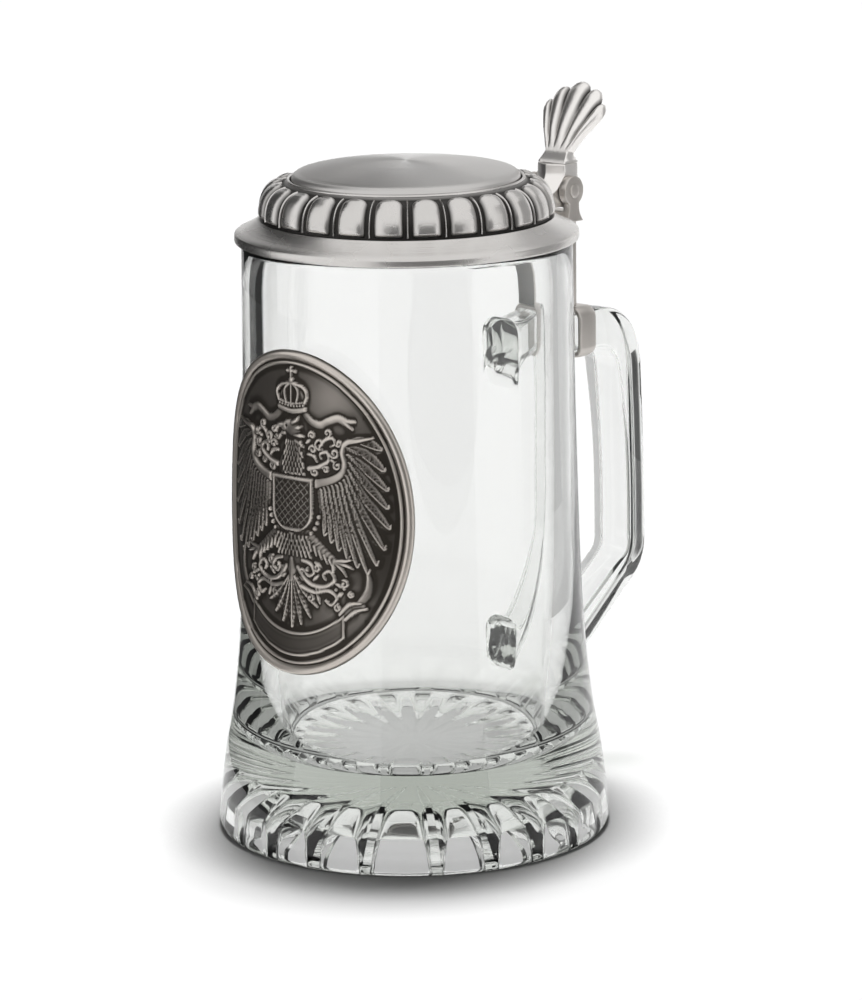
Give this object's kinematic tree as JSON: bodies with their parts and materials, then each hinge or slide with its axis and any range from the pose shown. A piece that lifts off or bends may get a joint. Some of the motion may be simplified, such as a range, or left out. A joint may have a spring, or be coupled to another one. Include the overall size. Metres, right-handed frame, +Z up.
{
  "type": "lidded glass beer stein",
  "caption": "Half-litre pressed-glass beer stein with a glass handle, hinged pewter lid with gadrooned border, shell thumblift and oval relief badge.",
  "frame": {"origin": "on the table plane under the middle of the part's length from foot to handle; the mug's own axis is at x = -20.5 mm", "axes": "+Z up along the mug's axis, +X towards the handle, -X towards the badge, the lid's hinge pin along Y"},
  "size_m": [0.1432, 0.1022, 0.1859],
  "materials": {
    "glass": "clear pressed glass, fire polished",
    "pewter": "satin pewter with darkened recesses",
    "turned_pewter": "pewter turned on a lathe, fine circular lines",
    "antique_pewter": "antiqued dark pewter with rubbed highlights",
    "adhesive_foam": "thin double-sided adhesive pad"
  },
  "bodies": {
    "mug": {"glass_mug": "glass", "handle_collar": "pewter", "hinge_strap": "pewter", "hinge_pin": "pewter", "badge": "antique_pewter", "badge_adhesive": "adhesive_foam"},
    "lid": {"lid_tang": "pewter", "thumblift": "pewter", "lid_border": "pewter", "lid_dome": "turned_pewter"}
  },
  "joints": [
    {"name": "lid_hinge", "type": "hinge", "parent": "mug", "child": "lid", "pos_m": [0.0394, 0, 0.1593], "axis": [0, 1, 0], "range_deg": [0, 100]}
  ]
}
